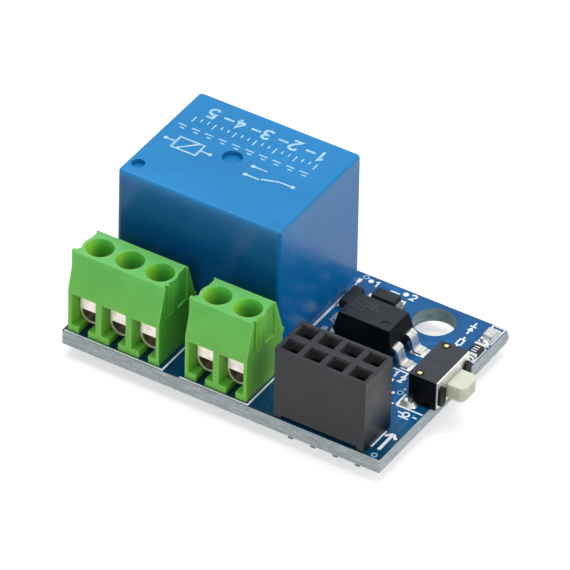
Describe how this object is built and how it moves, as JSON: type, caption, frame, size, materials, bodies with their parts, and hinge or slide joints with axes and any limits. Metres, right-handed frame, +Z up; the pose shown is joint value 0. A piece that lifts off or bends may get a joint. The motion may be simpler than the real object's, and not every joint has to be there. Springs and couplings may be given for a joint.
{
  "type": "relay module board",
  "caption": "Small circuit module with a sealed relay, screw terminals, a pin socket for a plug-in radio board, an optocoupler and a side push button.",
  "frame": {"origin": "centre of the bounding box at the height of the pin tips under the board, where the module rests", "axes": "+X along the board's long side towards the push button, +Y from the terminal edge to the back edge, +Z up out of the component side"},
  "size_m": [0.0394, 0.0242, 0.0185],
  "materials": {
    "board_mask": "glossy blue solder mask over glass-fibre board, grey cut edge",
    "print_white": "white screen print",
    "solder": "bright solder",
    "relay_blue": "glossy moulded plastic",
    "relay_black": "moulded plastic",
    "iron": "plated soft iron",
    "copper_wire": "enamelled copper wire",
    "bronze": "spring bronze",
    "silver": "silver",
    "tinned_pin": "tinned metal",
    "terminal_green": "satin moulded nylon, slightly translucent",
    "nickel": "nickel plated",
    "screw_steel": "zinc plated steel",
    "socket_black": "matt moulded plastic",
    "package_black": "matt moulded epoxy",
    "lamp_white": "white carrier",
    "lamp_clear": "clear epoxy",
    "switch_black": "matt moulded plastic",
    "stake_brass": "brass",
    "plunger_cream": "off-white moulded plastic"
  },
  "bodies": {
    "board": {"circuit_board": "board_mask", "board_print": "print_white", "solder_pads": "solder", "solder_joints": "solder", "relay_cover": "relay_blue", "relay_base": "relay_black", "relay_bobbin": "relay_black", "relay_yoke": "iron", "relay_core": "iron", "relay_coil": "copper_wire", "socket_contact_1": "bronze", "socket_contact_2": "bronze", "socket_contact_3": "bronze", "socket_contact_4": "bronze", "socket_contact_5": "bronze", "socket_contact_6": "bronze", "socket_contact_7": "bronze", "socket_contact_8": "bronze", "relay_fixed_contacts": "silver", "relay_open_terminal": "tinned_pin", "relay_closed_terminal": "tinned_pin", "relay_common_terminal": "tinned_pin", "relay_coil_pins": "tinned_pin", "switch_pins": "tinned_pin", "optocoupler_leads": "tinned_pin", "transistor_leads": "tinned_pin", "diode_leads": "tinned_pin", "chip_end_caps": "tinned_pin", "output_terminal_housing": "terminal_green", "supply_terminal_housing": "terminal_green", "clamp_cage_1": "nickel", "clamp_cage_2": "nickel", "clamp_cage_3": "nickel", "clamp_cage_4": "nickel", "clamp_cage_5": "nickel", "switch_plate": "nickel", "switch_dome": "nickel", "socket_housing": "socket_black", "optocoupler_body": "package_black", "transistor_body": "package_black", "diode_body": "package_black", "resistor_body": "package_black", "lamp_base": "lamp_white", "lamp_lens": "lamp_clear", "switch_body": "switch_black", "switch_stakes": "stake_brass"},
    "armature": {"relay_armature": "iron", "relay_spring": "bronze", "relay_moving_contact": "silver"},
    "wire_clamp_1": {"clamp_leaf_1": "nickel"},
    "wire_clamp_2": {"clamp_leaf_2": "nickel"},
    "wire_clamp_3": {"clamp_leaf_3": "nickel"},
    "wire_clamp_4": {"clamp_leaf_4": "nickel"},
    "wire_clamp_5": {"clamp_leaf_5": "nickel"},
    "screw_1": {"clamp_screw_1": "screw_steel"},
    "screw_2": {"clamp_screw_2": "screw_steel"},
    "screw_3": {"clamp_screw_3": "screw_steel"},
    "screw_4": {"clamp_screw_4": "screw_steel"},
    "screw_5": {"clamp_screw_5": "screw_steel"},
    "plunger": {"switch_plunger": "plunger_cream"}
  },
  "joints": [
    {"name": "reset_push", "type": "slide", "parent": "board", "child": "plunger", "axis": [-1, 0, 0], "range_m": [0, 0.00025], "stiffness_N_per_m": 3000, "springref_m": -0.0001, "deforming": ["switch_dome"]},
    {"name": "armature_rock", "type": "hinge", "parent": "board", "child": "armature", "pos_m": [-0.00245, 0.00338, 0.0149], "axis": [0, -1, 0], "range_deg": [0, 2.6], "stiffness_Nm_per_rad": 0.02, "springref_deg": -5.73},
    {"name": "clamp_1_travel", "type": "slide", "parent": "board", "child": "wire_clamp_1", "axis": [0, 0, -1], "range_m": [-0.0002, 0.00095]},
    {"name": "screw_1_turn", "type": "hinge", "parent": "wire_clamp_1", "child": "screw_1", "pos_m": [-0.01745, -0.00867, 0.009], "axis": [0, 0, -1], "range_deg": [-180.1, 855.1]},
    {"name": "clamp_2_travel", "type": "slide", "parent": "board", "child": "wire_clamp_2", "axis": [0, 0, -1], "range_m": [-0.0002, 0.00095]},
    {"name": "screw_2_turn", "type": "hinge", "parent": "wire_clamp_2", "child": "screw_2", "pos_m": [-0.01395, -0.00867, 0.009], "axis": [0, 0, -1], "range_deg": [-180.1, 855.1]},
    {"name": "clamp_3_travel", "type": "slide", "parent": "board", "child": "wire_clamp_3", "axis": [0, 0, -1], "range_m": [-0.0002, 0.00095]},
    {"name": "screw_3_turn", "type": "hinge", "parent": "wire_clamp_3", "child": "screw_3", "pos_m": [-0.01045, -0.00867, 0.009], "axis": [0, 0, -1], "range_deg": [-180.1, 855.1]},
    {"name": "clamp_4_travel", "type": "slide", "parent": "board", "child": "wire_clamp_4", "axis": [0, 0, -1], "range_m": [-0.0002, 0.00095]},
    {"name": "screw_4_turn", "type": "hinge", "parent": "wire_clamp_4", "child": "screw_4", "pos_m": [-0.00385, -0.00867, 0.009], "axis": [0, 0, -1], "range_deg": [-180.1, 855.1]},
    {"name": "clamp_5_travel", "type": "slide", "parent": "board", "child": "wire_clamp_5", "axis": [0, 0, -1], "range_m": [-0.0002, 0.00095]},
    {"name": "screw_5_turn", "type": "hinge", "parent": "wire_clamp_5", "child": "screw_5", "pos_m": [-0.00035, -0.00867, 0.009], "axis": [0, 0, -1], "range_deg": [-180.1, 855.1]}
  ],
  "couplings": [
    {"joint": "screw_1_turn", "follows": "clamp_1_travel", "rad_per_m": 15708},
    {"joint": "screw_2_turn", "follows": "clamp_2_travel", "rad_per_m": 15708},
    {"joint": "screw_3_turn", "follows": "clamp_3_travel", "rad_per_m": 15708},
    {"joint": "screw_4_turn", "follows": "clamp_4_travel", "rad_per_m": 15708},
    {"joint": "screw_5_turn", "follows": "clamp_5_travel", "rad_per_m": 15708}
  ]
}
